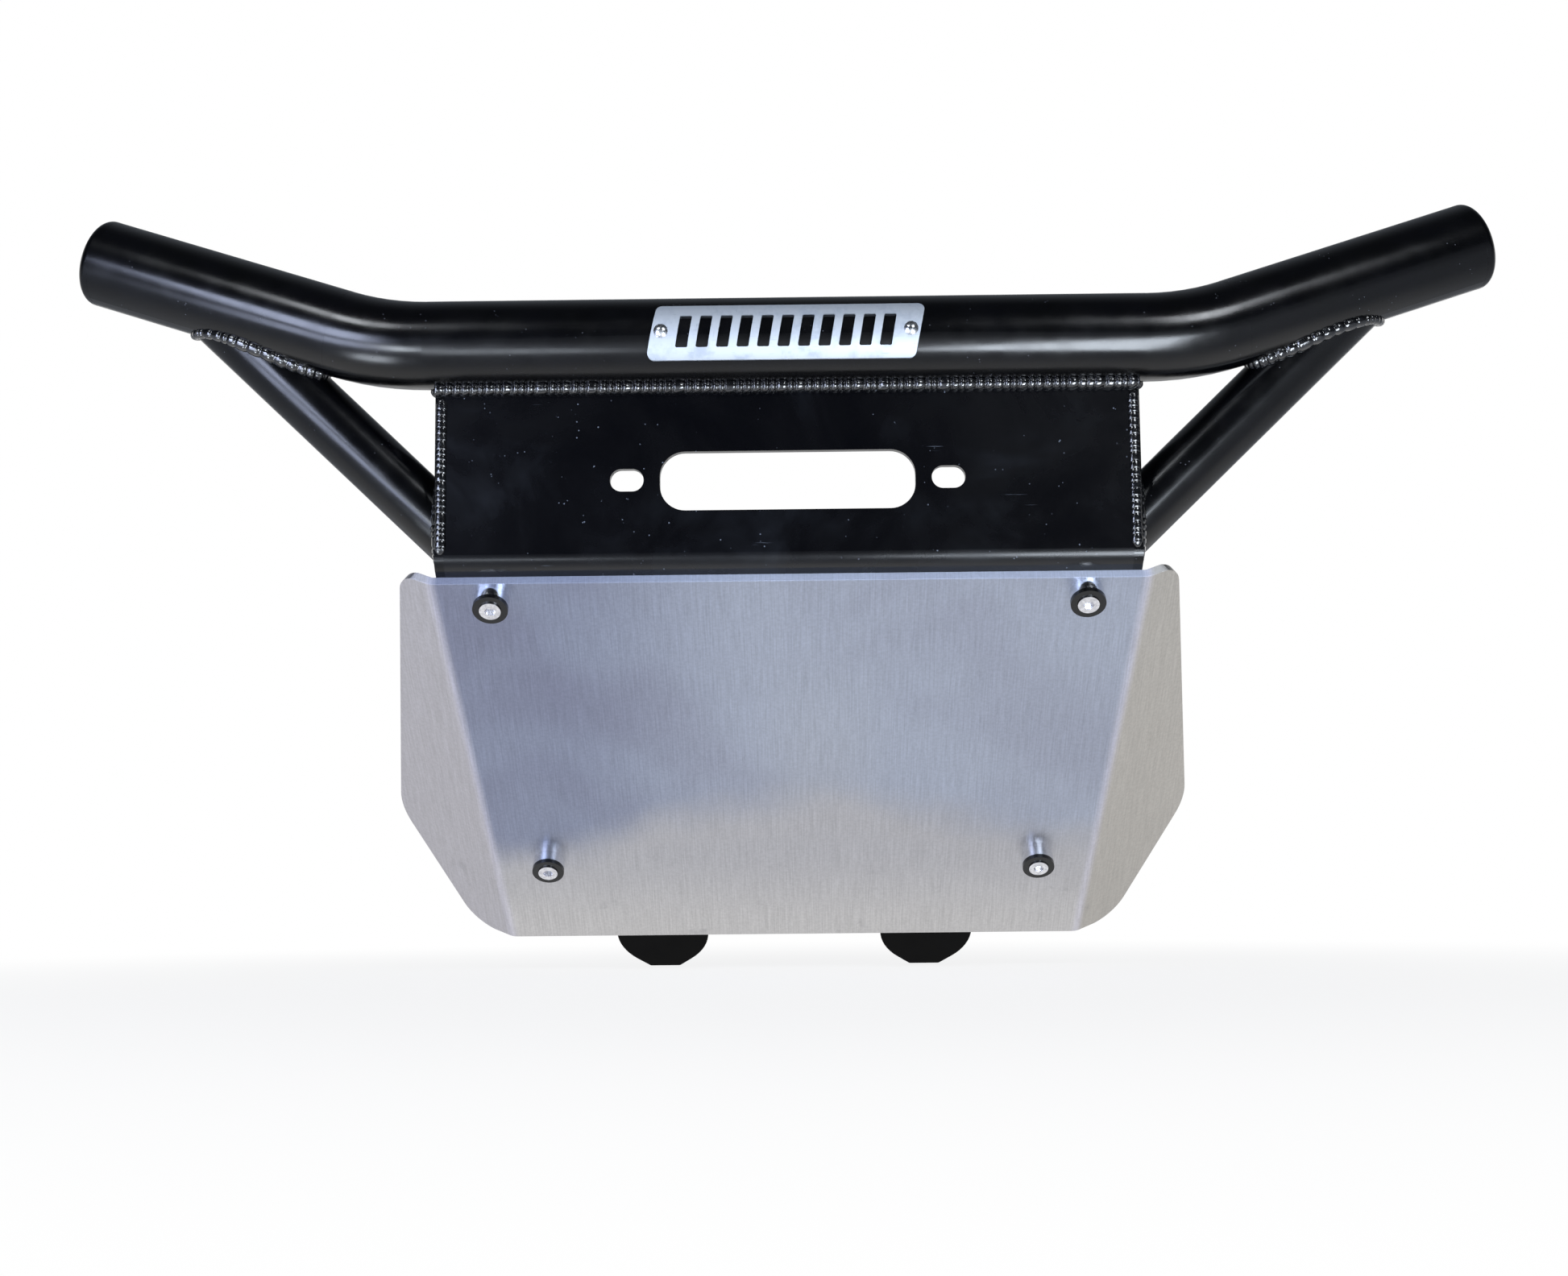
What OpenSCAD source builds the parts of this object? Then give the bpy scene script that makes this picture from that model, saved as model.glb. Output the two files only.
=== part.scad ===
// Front bumper of a small off-road vehicle: a bent tube with two braces, a folded steel
// plate that takes a winch fairlead, and a folded aluminium skid plate bolted under it.
// X runs across the vehicle, -Y is forward and Z is up. The origin is the middle of the
// fairlead bolt pattern, on the front face of the steel plate.

/* [Main tube] */
// Outside diameter of the main tube
tube_d = 44.45; // [42:0.05:46]
// Wall of the main tube
tube_wall = 3; // [2:0.1:4]
// Height of the tube's straight middle above the fairlead bolts
tube_z = 70.4; // [68:0.1:80]
// Straight run of the tube past each side plate
middle_over = 3.75; // [3:0.25:12]
// Angle of each bend
bend_angle = 20; // [17:0.5:22]
// Turn of each arm back towards the vehicle, about the straight middle
bend_roll = 20; // [12:0.5:26]
// Radius of the bends at the centre line
bend_r = 130; // [110:1:140]
// Radius that the tube loses where its bends are drawn
bend_draw = 0.05; // [0.03:0.01:0.2]
// Length of each arm from the corner of its bend
arm_len = 155; // [152:1:190]
// Thickness of the end caps
cap_t = 6; // [4.5:0.1:8]
// Rounding of the end caps' rims
cap_round = 4; // [2:0.1:4.2]

/* [Braces] */
// Outside diameter of the braces
brace_d = 31.75; // [26:0.05:33]
// Wall of the braces
brace_wall = 2.4; // [1.6:0.1:3.5]
// Distance of the braces behind the front of the fairlead plate, on the side plates
brace_y = 28; // [22:0.5:34]
// Height of the braces on the side plates
brace_z = -18; // [-20:0.5:0]
// Place of each brace on its arm, from the corner of the bend
brace_at = 108.5; // [95:0.5:122]

/* [Fairlead plate] */
// Width over the two side plates
box_w = 352.5; // [346:0.5:354]
// Thickness of the steel sheet
sheet_t = 4.76; // [3:0.01:5.2]
// Depth of the bottom fold below the fairlead bolts
fold_drop = 41.5; // [40:0.5:55]
// Outside radius of the bottom fold
fold_r = 10; // [7:0.5:11]
// Length of the flange behind the bottom fold
flange_len = 34; // [31:0.5:42]
// Width of the fairlead opening
window_w = 127.5; // [90:0.5:136]
// Height of the fairlead opening
window_h = 29.8; // [26:0.2:40]
// Rounding of the opening's corners
window_r = 12.6; // [6:0.1:12.9]
// Distance of the opening's middle below the bolt slots
window_low = 0.7; // [0:0.1:4]
// Spacing of the fairlead bolt slots
slot_gap = 160.5; // [158:0.5:176]
// Height of the bolt slots
slot_h = 11.4; // [8:0.1:14]
// Length of the bolt slots
slot_len = 16.8; // [15:0.1:20]

/* [Side plates] */
// Depth of the side plates behind the front face
side_depth = 92; // [86:1:130]
// Height of the side plates' rear edge
side_rear = 58; // [52:1:64]
// Height of the rear edge's middle above the fairlead bolts
side_mid = -8; // [-14:1:0]
// Rounding of the side plates' rear corners
side_r = 14; // [6:0.5:18]
// Diameter of the frame bolt holes
frame_hole_d = 10.5; // [8:0.1:13]
// Spacing of the two frame bolt holes
frame_hole_gap = 30; // [24:0.5:34]
// Distance of the frame bolt holes from the rear edge
frame_hole_in = 15; // [13:0.5:20]

/* [Skid plate] */
// Thickness of the aluminium skid plate
skid_t = 4.76; // [3:0.01:6]
// Lean of the skid plate back from upright
skid_lean = 50; // [46:0.5:54]
// Distance of the skid plate's top edge from the corner of the steel fold
skid_set = 8.7; // [7.5:0.1:10]
// Length of the skid plate down its slope
skid_len = 279; // [272:1:290]
// Reach of the flat middle past each side plate, at the top edge
skid_over = 2.95; // [2.5:0.05:8]
// Narrowing of the flat middle on each side, from the top edge to the bottom
skid_taper = 13.2; // [6:0.1:20]
// Backward fold of the two wings
wing_fold = 27; // [15:1:40]
// Outside radius of the wing folds
wing_r = 9; // [7:0.5:11]
// Width of the wings at the top edge
wing_top = 17.5; // [12:0.5:30]
// Width of the wings at their widest
wing_wide = 60.5; // [40:0.5:75]
// Distance of the wings' widest corner from the top edge
wing_corner = 191; // [170:1:210]
// Width of the wings at the bottom edge
wing_foot = 25.5; // [22:0.5:36]
// Rounding of the wings' top corners
wing_top_r = 13; // [4:0.5:14]
// Rounding of the wings' widest corners
wing_corner_r = 42; // [10:1:60]
// Rounding of the wings' bottom corners
wing_foot_r = 25; // [10:1:30]

/* [Skid screws] */
// Diameter of the screws
screw_d = 6; // [5:0.5:7]
// Clearance of the screw holes over the screws
screw_play = 0.5; // [0.2:0.1:1]
// Diameter of the screw heads
head_d = 10.8; // [9:0.1:11]
// Height of the screw heads
head_h = 3.4; // [3:0.1:6]
// Width across flats of the socket in the heads
socket_w = 5; // [3:0.1:6]
// Depth of the socket
socket_h = 2.2; // [1.5:0.1:2.8]
// Diameter of the spacers and of the rings on them
spacer_d = 17.8; // [16:0.1:20]
// Thickness of the spacers under the heads
spacer_t = 6.2; // [1.5:0.1:8]
// Thickness of the rings round the heads
ring_t = 2.5; // [1:0.1:3]
// Inside diameter of the rings
ring_bore = 11.2; // [11.2:0.1:14]
// Width across flats of the nuts
nut_w = 10; // [9:0.1:11]
// Height of the nuts
nut_h = 5; // [4:0.1:7]
// Length of thread that shows behind the nuts
thread_out = 1.5; // [0.5:0.1:4]
// Distance of the upper screws in from the side plates' outer faces
upper_in = 27.25; // [22:0.25:36]
// Distance of the upper screws from the skid plate's top edge
upper_s = 10.4; // [10:0.1:14]
// Distance of the lower screws in from the upper screws
lower_in = 10.5; // [4:0.5:24]
// Distance of the lower screws from the skid plate's top edge
lower_s = 211; // [200:0.5:216]

/* [Lower frame] */
// Width of the two legs behind the skid plate
leg_w = 54; // [40:0.5:60]
// Half spacing of the legs
leg_x = 78; // [70:0.5:90]
// Reach of the tabs past the skid plate's bottom edge
tab_out = 35; // [30:0.5:45]
// Width of the flat at the tabs' tips
tab_flat = 17.6; // [10:0.2:24]
// Length of the tabs' slanted ends
tab_slant = 16.5; // [10:0.5:22]
// Rounding of the tabs' shoulders
tab_r = 33; // [6:1:36]
// Rounding of the tabs' tips
tab_tip_r = 2; // [1:0.1:4]
// Width of the cross bar
bar_w = 30; // [24:0.5:40]
// Distance of the lower screws from the ends of the cross bar
bar_end = 15; // [12:0.5:16]

/* [Welds] */
// Leg of the weld under the tube
seam_leg = 4.2; // [3:0.1:5]
// Place of that weld's middle forward of the plate and down from the tube, as parts of its leg
seam_fore = 0.1; // [0:0.05:0.3]
seam_down = 0.3; // [0.2:0.05:0.5]
// Start and turn of the welds beside the side plates, round the tube from straight down
side_start = 4; // [2:1:10]
side_turn = 76; // [40:1:80]
// Radius of the weld beads round the braces
bead_r = 4; // [3:0.1:5]
// Swelling of the beads on the arms at their inner ends, as a part of that radius
head_swell = 0.35; // [0:0.05:0.4]
// Width of the corner welds
corner_bead_w = 6; // [4:0.1:7]
// Height of the corner welds above the plate
corner_bead_h = 1.6; // [1:0.1:2.2]
// Half width and height of the welds across the backs of the legs
leg_bead = 4; // [3:0.1:5]
leg_bead_h = 1.8; // [1:0.1:2.5]

/* [Badge] */
// Length of the bare badge plate
badge_w = 138.5; // [120:0.5:150]
// Height of the badge plate, seen from the front
badge_h = 27.5; // [23:0.5:32]
// Slant of the badge's ends
badge_slant = 5.5; // [0:0.5:10]
// Thickness of the badge plate
badge_t = 1.2; // [0.8:0.1:2]
// Rounding of the badge's corners
badge_r = 3.2; // [1:0.1:5]
// Number of slanted slots in the badge
badge_slots = 11; // [3:1:13]
// Width of each slot in the badge
badge_slot_w = 6; // [3:0.1:6.4]
// Height of the slots in the badge
badge_slot_h = 16; // [8:0.5:17]
// Rounding of the slots' corners
badge_slot_r = 0.8; // [0.4:0.1:1.2]
// Distance of the rivets from the ends of the badge
rivet_in = 7.5; // [6:0.1:9]
// Diameter of the rivet heads
rivet_head_d = 7; // [5:0.1:7.4]
// Height of the rivet heads
rivet_head_h = 1.3; // [1:0.1:2.4]
// Diameter of the rivet shanks
rivet_d = 3.2; // [2.4:0.1:4]
// Length of the rivet shanks inside the tube
rivet_tail = 1.5; // [0.5:0.1:4]

/* [Hidden] */
$fn = 96;
// Overshoot of a cutting solid
eps = 1;
// Overlap that makes two stretches of one piece one solid, as a length and as an angle
lap = 0.02;
lap_angle = 0.25;
// Thinning of the sheet at the wing folds
fold_draw = 0.02;
// Depth trimmed off the wings' ends
trim = 0.3;
// Gap between the brace welds and what they lie on
seat = 0.02;
// Points on each rounded corner of an outline
corner_steps = 8;
// Rings and sides of the weld beads round the braces
bead_rings = 36;
bead_sides = 8;
tube_r = tube_d / 2;
tube_y = sheet_t / 2;
bend_tangent = bend_r * tan(bend_angle / 2);
middle_half = box_w / 2 + middle_over;
bend_half = middle_half + bend_tangent;
arm_dir = [cos(bend_angle), sin(bend_angle) * sin(bend_roll), sin(bend_angle) * cos(bend_roll)];
arm_root = [bend_half, tube_y, tube_z];
// Ends and direction of the right brace
brace_foot = [box_w / 2, brace_y, brace_z];
brace_head = arm_root + brace_at * arm_dir;
brace_span = norm(brace_head - brace_foot);
brace_dir = (brace_head - brace_foot) / brace_span;
brace_e1 = unit(cross(brace_dir, [0, 1, 0]));
brace_e2 = cross(brace_dir, brace_e1);
// Straight run of the fairlead plate down to its fold
fold_tangent = fold_r * tan(skid_lean / 2);
fold_top = -fold_drop + fold_tangent;
plate_w = box_w - 2 * sheet_t;
// Height at which the plate's front face meets the tube
seam_z = tube_z - sqrt(tube_r * tube_r - tube_y * tube_y);
skid_top = box_w / 2 + skid_over;
skid_foot = skid_top - skid_taper;
upper_x = box_w / 2 - upper_in;
lower_x = upper_x - lower_in;
skid_pinch = atan(skid_taper / skid_len);
wing_tangent = wing_r * tan(wing_fold / 2);
flange_s = flange_len - skid_set;
screw_hole_d = screw_d + screw_play;
badge_pitch = (badge_w - 2 * rivet_in - rivet_head_d - badge_slant) / badge_slots;

function unit(v) = v / norm(v);
function on_arc(c, r, a) = c + r * [cos(a), sin(a)];
// Outline with each corner rounded by its own radius
function rounded(pts, radii) = let(n = len(pts)) [
    for (i = [0 : n - 1])
        let(p = pts[i], u = unit(pts[(i + n - 1) % n] - p), v = unit(pts[(i + 1) % n] - p),
            half = acos(u * v) / 2, r = radii[i], c = p + unit(u + v) * r / sin(half),
            s = c - p, turn = 90 - half, side = sign(cross(-u, v)),
            back = atan2(-s[1], -s[0]))
            for (k = [0 : r > 0 ? corner_steps : 0])
                r > 0 ? on_arc(c, r, back + side * turn * (2 * k / corner_steps - 1)) : p];

// Point of the bead's centre line on the side plate, at an angle round the brace
function foot_point(a) =
    let(p = brace_foot + brace_d / 2 * (cos(a) * brace_e1 + sin(a) * brace_e2))
        p + brace_dir * (brace_foot[0] - p[0]) / brace_dir[0];
// The same on the arm of the main tube
function head_point(a) =
    let(p = brace_foot + brace_d / 2 * (cos(a) * brace_e1 + sin(a) * brace_e2),
        m = p - arm_root, mp = m - (m * arm_dir) * arm_dir,
        up = brace_dir - (brace_dir * arm_dir) * arm_dir,
        qa = up * up, qb = mp * up, qc = mp * mp - tube_r * tube_r)
        p + brace_dir * (-qb - sqrt(qb * qb - qa * qc)) / qa;

module on_both_sides() {
    for (side = [0, 1]) mirror([side, 0, 0]) children();
}

// Main tube as a path of one radius, with its arms cut at a length
module tube_path(r, arm_end) {
    translate([0, tube_y, tube_z]) {
        rotate([0, 90, 0]) cylinder(r = r, h = 2 * middle_half, center = true);
        on_both_sides() rotate([-bend_roll, 0, 0]) translate([middle_half, 0, bend_r]) {
            rotate([90, 0, 0]) rotate([0, 0, -90 - lap_angle])
                rotate_extrude(angle = bend_angle + 2 * lap_angle)
                    translate([bend_r, 0]) circle(r = r - bend_draw);
            rotate([0, -bend_angle, 0]) translate([0, 0, -bend_r]) rotate([0, 90, 0])
                cylinder(r = r, h = arm_end - bend_tangent);
        }
    }
}

// Places children at the end of the right arm, with +Z out of the tube
module at_arm(distance) {
    translate(arm_root + distance * arm_dir) rotate([-bend_roll, 0, 0])
        rotate([0, 90 - bend_angle, 0]) children();
}

// Places children on the right brace's axis, with +Z towards the arm
module at_brace() {
    translate(brace_foot)
        rotate([0, acos(brace_dir[2]), atan2(brace_dir[1], brace_dir[0])]) children();
}

// Turns an outline in the Y-Z plane into a sheet between two X values
module across(x0, x1) {
    translate([x0, 0, 0]) rotate([90, 0, 90]) linear_extrude(x1 - x0) children();
}

// Skid frame: X across, Y up the slope from the top edge, Z out of the skid's front face
module on_skid() {
    translate([0, skid_set * sin(skid_lean) - skid_t * cos(skid_lean),
               -fold_drop - skid_set * cos(skid_lean) - skid_t * sin(skid_lean)])
        rotate([90 + skid_lean, 0, 0]) children();
}

module at_screws() {
    on_skid() {
        for (side = [-1, 1]) {
            translate([side * upper_x, -upper_s, 0]) children();
            translate([side * lower_x, -lower_s, 0]) children();
        }
    }
}

// Bead with a flat back along X, of a half width and a height, with +Z out of its crown
module flat_bead(half, h, length) {
    r = (half * half + h * h) / (2 * h);
    intersection() {
        translate([0, 0, h - r]) rotate([0, 90, 0]) cylinder(r = r, h = length, center = true);
        translate([-length / 2 - eps, -r, 0]) cube([length + 2 * eps, 2 * r, r]);
    }
}

module screw_holes() {
    at_screws() translate([0, 0, -skid_t - sheet_t - eps])
        cylinder(d = screw_hole_d, h = skid_t + sheet_t + 2 * eps);
}

module rivet_places() {
    for (side = [-1, 1])
        translate([side * (badge_w / 2 - rivet_in), tube_y - tube_r, tube_z])
            rotate([90, 0, 0]) children();
}

module main_tube() {
    color("#17181c") difference() {
        tube_path(tube_r, arm_len);
        tube_path(tube_r - tube_wall, arm_len + eps);
        rivet_places() translate([0, 0, -tube_r / 2])
            cylinder(d = rivet_d, h = tube_r, $fn = 32);
    }
}

module end_cap() {
    color("#17181c") at_arm(arm_len) rotate_extrude() {
        square([tube_r, cap_t - cap_round]);
        square([tube_r - cap_round, cap_t]);
        translate([tube_r - cap_round, cap_t - cap_round]) intersection() {
            circle(r = cap_round, $fn = 48);
            square(cap_round);
        }
    }
}

module end_cap_right() { end_cap(); }
module end_cap_left() { mirror([1, 0, 0]) end_cap(); }

module brace() {
    color("#17181c") difference() {
        at_brace() translate([0, 0, -brace_d]) cylinder(d = brace_d, h = brace_span + brace_d);
        at_brace() translate([0, 0, -brace_d - eps])
            cylinder(d = brace_d - 2 * brace_wall, h = brace_span + brace_d + 2 * eps);
        translate([box_w / 2 - 2 * brace_d, brace_y - brace_d, brace_z - 2 * brace_d])
            cube([2 * brace_d, 2 * brace_d, 4 * brace_d]);
        tube_path(tube_r, arm_len);
    }
}

module brace_right() { brace(); }
module brace_left() { mirror([1, 0, 0]) brace(); }

// Section of the fairlead plate: upright, fold and flange
module plate_section() {
    centre = [fold_r, fold_top];
    translate([0, fold_top - lap]) square([sheet_t, tube_z - fold_top + lap]);
    intersection() {
        difference() {
            translate(centre) circle(r = fold_r);
            translate(centre) circle(r = fold_r - sheet_t);
        }
        polygon([centre, centre - [2 * fold_r, 0], centre - [2 * fold_r, 2 * fold_r],
                 centre + 2 * fold_r * [-cos(skid_lean), -sin(skid_lean)]]);
    }
    translate([0, -fold_drop]) rotate(skid_lean)
        translate([0, -flange_len]) square([sheet_t, flange_len - fold_tangent + lap]);
}

// Opening with true round corners
module slot(w, h, r) {
    square([w - 2 * r, h], center = true);
    if (h > 2 * r) square([w, h - 2 * r], center = true);
    for (x = [-1, 1], y = [-1, 1]) translate([x * (w / 2 - r), y * (h / 2 - r)]) circle(r = r);
}

module fairlead_plate() {
    color("#20232b") difference() {
        across(-plate_w / 2, plate_w / 2) plate_section();
        tube_path(tube_r, arm_len);
        rotate([90, 0, 0]) translate([0, 0, -sheet_t - eps]) linear_extrude(sheet_t + 2 * eps) {
            translate([0, -window_low]) slot(window_w, window_h, window_r);
            for (side = [-1, 1]) translate([side * slot_gap / 2, 0])
                slot(slot_len, slot_h, slot_h / 2);
        }
        screw_holes();
    }
}

// Outline of a side plate in the Y-Z plane
module side_outline() {
    flange_tip = [0, -fold_drop] + flange_len * [sin(skid_lean), -cos(skid_lean)];
    heel = flange_tip + 2 * sheet_t * [cos(skid_lean), sin(skid_lean)];
    fold = [for (k = [0 : corner_steps])
        on_arc([fold_r, fold_top], fold_r, 180 + skid_lean * k / corner_steps)];
    back = rounded([heel, [side_depth, side_mid - side_rear / 2],
                    [side_depth, side_mid + side_rear / 2], [tube_y + tube_r / 2, tube_z]],
                   [0, side_r, side_r, 0]);
    polygon(concat([[0, tube_z]], fold, [flange_tip], back));
}

module side_plate() {
    color("#17181c") difference() {
        across(box_w / 2 - sheet_t, box_w / 2) side_outline();
        tube_path(tube_r, arm_len);
        for (end = [-1, 1])
            translate([box_w / 2 - sheet_t - eps, side_depth - frame_hole_in,
                       side_mid + end * frame_hole_gap / 2])
                rotate([0, 90, 0]) cylinder(d = frame_hole_d, h = sheet_t + 2 * eps);
    }
}

module side_plate_right() { side_plate(); }
module side_plate_left() { mirror([1, 0, 0]) side_plate(); }

// Weld along the corner of the tube and the fairlead plate
module tube_seam() {
    color("#101116") difference() {
        across(-box_w / 2, box_w / 2) difference() {
            translate([-seam_fore * seam_leg, seam_z - seam_down * seam_leg])
                circle(r = seam_leg, $fn = 48);
            translate([0, seam_z - 2 * seam_leg]) square([2 * seam_leg, 4 * seam_leg]);
        }
        tube_path(tube_r, arm_len);
    }
}

// Weld up the front corner of a side plate
module corner_weld() {
    half = corner_bead_w / 2;
    bead = (half * half + corner_bead_h * corner_bead_h) / (2 * corner_bead_h);
    color("#101116") difference() {
        translate([box_w / 2 - half, bead - corner_bead_h, fold_top])
            cylinder(r = bead, h = seam_z - (1 + seam_down) * seam_leg - fold_top, $fn = 48);
        translate([box_w / 2 - half - bead - eps, 0, fold_top - eps])
            cube([2 * (bead + eps), 2 * bead + eps, seam_z - fold_top + 2 * eps]);
    }
}

module corner_weld_right() { corner_weld(); }
module corner_weld_left() { mirror([1, 0, 0]) corner_weld(); }

// Weld between a side plate's outer face and the underside of the tube
module side_weld() {
    color("#101116") translate([box_w / 2, tube_y, tube_z]) rotate([0, 90, 0]) rotate(side_start)
        rotate_extrude(angle = side_turn) translate([tube_r, 0]) intersection() {
            circle(r = seam_leg, $fn = 48);
            square(seam_leg);
        }
}

module side_weld_right() { side_weld(); }
module side_weld_left() { mirror([1, 0, 0]) side_weld(); }

// Closed bead swept along a ring of points, with its section square to the path; it is
// thickest at the ring's first point and thinnest opposite
module bead_ring(path, swell = 0) {
    n = len(path);
    verts = [for (i = [0 : n - 1])
        let(t = unit(path[(i + 1) % n] - path[(i + n - 1) % n]), p = path[i] - brace_foot,
            out = unit(p - (p * brace_dir) * brace_dir),
            n1 = unit(out - (out * t) * t), n2 = cross(t, n1),
            r = bead_r * (1 + swell * cos(360 * i / n)))
            for (k = [0 : bead_sides - 1])
                path[i] + r * (cos(360 * k / bead_sides) * n1 + sin(360 * k / bead_sides) * n2)];
    faces = [for (i = [0 : n - 1]) for (k = [0 : bead_sides - 1])
        let(j = (i + 1) % n, m = (k + 1) % bead_sides)
            [i * bead_sides + k, i * bead_sides + m, j * bead_sides + m, j * bead_sides + k]];
    polyhedron(points = verts, faces = faces, convexity = 6);
}

module brace_cuts() {
    at_brace() translate([0, 0, -2 * brace_d])
        cylinder(d = brace_d + 2 * seat, h = brace_span + 3 * brace_d);
    translate([box_w / 2 - 2 * brace_d, brace_y - 2 * brace_d, brace_z - 2 * brace_d])
        cube([2 * brace_d, 4 * brace_d, 4 * brace_d]);
    tube_path(tube_r + seat, arm_len);
}

module foot_weld() {
    color("#101116") difference() {
        bead_ring([for (i = [0 : bead_rings - 1]) foot_point(360 * i / bead_rings)]);
        brace_cuts();
    }
}

module foot_weld_right() { foot_weld(); }
module foot_weld_left() { mirror([1, 0, 0]) foot_weld(); }

module head_weld() {
    color("#101116") difference() {
        bead_ring([for (i = [0 : bead_rings - 1]) head_point(360 * i / bead_rings)], head_swell);
        brace_cuts();
    }
}

module head_weld_right() { head_weld(); }
module head_weld_left() { mirror([1, 0, 0]) head_weld(); }

// Outline of a leg and its tab, from the flange down
module leg_outline() {
    tip = skid_len + tab_out;
    polygon(rounded([[leg_w / 2, -flange_s], [-leg_w / 2, -flange_s],
                     [-leg_w / 2, tab_slant - tip], [-tab_flat / 2, -tip],
                     [tab_flat / 2, -tip], [leg_w / 2, tab_slant - tip]],
                    [0, 0, tab_r, tab_tip_r, tab_tip_r, tab_r]));
}

// Legs, tabs and cross bar behind the skid plate, cut from one sheet
module lower_frame() {
    color("#17181c") difference() {
        on_skid() translate([0, 0, -skid_t - sheet_t]) linear_extrude(sheet_t) {
            for (side = [-1, 1]) {
                translate([side * leg_x, 0]) leg_outline();
                translate([side * lower_x, -lower_s]) circle(r = bar_end);
            }
            translate([-lower_x, -lower_s - bar_w / 2]) square([2 * lower_x, bar_w]);
        }
        screw_holes();
    }
}

// Weld across the back of each leg, where it meets the flange
module leg_welds() {
    color("#101116") on_skid() for (side = [-1, 1])
        translate([side * leg_x, -flange_s, -skid_t - sheet_t]) rotate([180, 0, 0])
            flat_bead(leg_bead, leg_bead_h, leg_w);
}

// Place on a wing's slope that is level with a place on the flat middle's slope
function wing_y(w, y) = (y + w * cos(wing_fold) * sin(skid_pinch)) / cos(skid_pinch);

// Outline of a wing from the corner of its fold outwards
module wing_outline() {
    head = trim;
    foot = -skid_len - trim;
    polygon(rounded([[wing_tangent, wing_y(wing_tangent, head)],
                     [wing_tangent, wing_y(wing_tangent, foot)],
                     [wing_foot, wing_y(wing_foot, foot)], [wing_wide, -wing_corner],
                     [wing_top, wing_y(wing_top, head)]],
                    [0, 0, wing_foot_r, wing_corner_r, wing_top_r]));
}

module wing() {
    translate([skid_top, 0, 0]) rotate([0, 0, -skid_pinch]) {
        rotate([0, wing_fold, 0]) translate([0, 0, -skid_t]) linear_extrude(skid_t) wing_outline();
        translate([-wing_tangent, 2 * eps, -wing_r]) rotate([90, 0, 0])
            linear_extrude(skid_len + 4 * eps) intersection() {
                difference() {
                    circle(r = wing_r - fold_draw);
                    circle(r = wing_r - skid_t + fold_draw);
                }
                polygon([[0, 0], 2 * wing_r * [-sin(lap_angle), cos(lap_angle)],
                         2 * wing_r * [sin(wing_fold + lap_angle), cos(wing_fold + lap_angle)]]);
            }
    }
}

module skid_plate() {
    inset = wing_tangent / cos(skid_pinch);
    color("#b9bac4") difference() {
        on_skid() intersection() {
            union() {
                translate([0, 0, -skid_t]) linear_extrude(skid_t)
                    polygon([[-skid_top + inset, 0], [skid_top - inset, 0],
                             [skid_foot - inset, -skid_len], [-skid_foot + inset, -skid_len]]);
                on_both_sides() wing();
            }
            translate([-skid_top - wing_wide, -skid_len, -wing_wide - skid_t])
                cube([2 * (skid_top + wing_wide), skid_len, wing_wide + 2 * skid_t]);
        }
        screw_holes();
    }
}

module skid_screws() {
    grip = spacer_t + skid_t + sheet_t + nut_h + thread_out;
    color("#c4c5ca") at_screws() translate([0, 0, spacer_t]) {
        difference() {
            cylinder(d = head_d, h = head_h, $fn = 64);
            translate([0, 0, head_h - socket_h])
                cylinder(d = socket_w / cos(30), h = socket_h + eps, $fn = 6);
        }
        translate([0, 0, -grip]) cylinder(d = screw_d, h = grip, $fn = 64);
    }
}

module skid_rings() {
    color("#121317") at_screws() translate([0, 0, spacer_t]) difference() {
        cylinder(d = spacer_d, h = ring_t, $fn = 64);
        translate([0, 0, -eps]) cylinder(d = ring_bore, h = ring_t + 2 * eps, $fn = 64);
    }
}

module skid_spacers() {
    color("#c9ccd2") at_screws() difference() {
        cylinder(d = spacer_d, h = spacer_t, $fn = 64);
        translate([0, 0, -eps]) cylinder(d = screw_hole_d, h = spacer_t + 2 * eps, $fn = 64);
    }
}

module skid_nuts() {
    color("#9a9da3") at_screws() translate([0, 0, -skid_t - sheet_t - nut_h]) difference() {
        cylinder(d = nut_w / cos(30), h = nut_h, $fn = 6);
        translate([0, 0, -eps]) cylinder(d = screw_d, h = nut_h + 2 * eps, $fn = 64);
    }
}

// Outline of the badge, slanted at both ends
module slanted(w, h, slant, r) {
    polygon(rounded([[-(w - slant) / 2 - slant / 2, -h / 2], [(w - slant) / 2 - slant / 2, -h / 2],
                     [(w - slant) / 2 + slant / 2, h / 2], [-(w - slant) / 2 + slant / 2, h / 2]],
                    [r, r, r, r]));
}

module badge_plate() {
    color("#d4d5d9") difference() {
        intersection() {
            translate([0, tube_y, tube_z]) rotate([0, 90, 0])
                cylinder(r = tube_r + badge_t, h = badge_w + 2 * eps, center = true);
            translate([0, tube_y, tube_z]) rotate([90, 0, 0]) linear_extrude(2 * tube_r)
                slanted(badge_w, badge_h, badge_slant, badge_r);
        }
        translate([0, tube_y, tube_z]) rotate([0, 90, 0])
            cylinder(r = tube_r, h = badge_w + 4 * eps, center = true);
        for (i = [0 : badge_slots - 1])
            translate([(i - (badge_slots - 1) / 2) * badge_pitch, tube_y, tube_z])
                rotate([90, 0, 0]) linear_extrude(2 * tube_r)
                    slanted(badge_slot_w + badge_slant / 2, badge_slot_h, badge_slant / 2, badge_slot_r);
        rivet_places() translate([0, 0, -eps]) cylinder(d = rivet_d, h = 2 * badge_t + eps, $fn = 32);
    }
}

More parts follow.
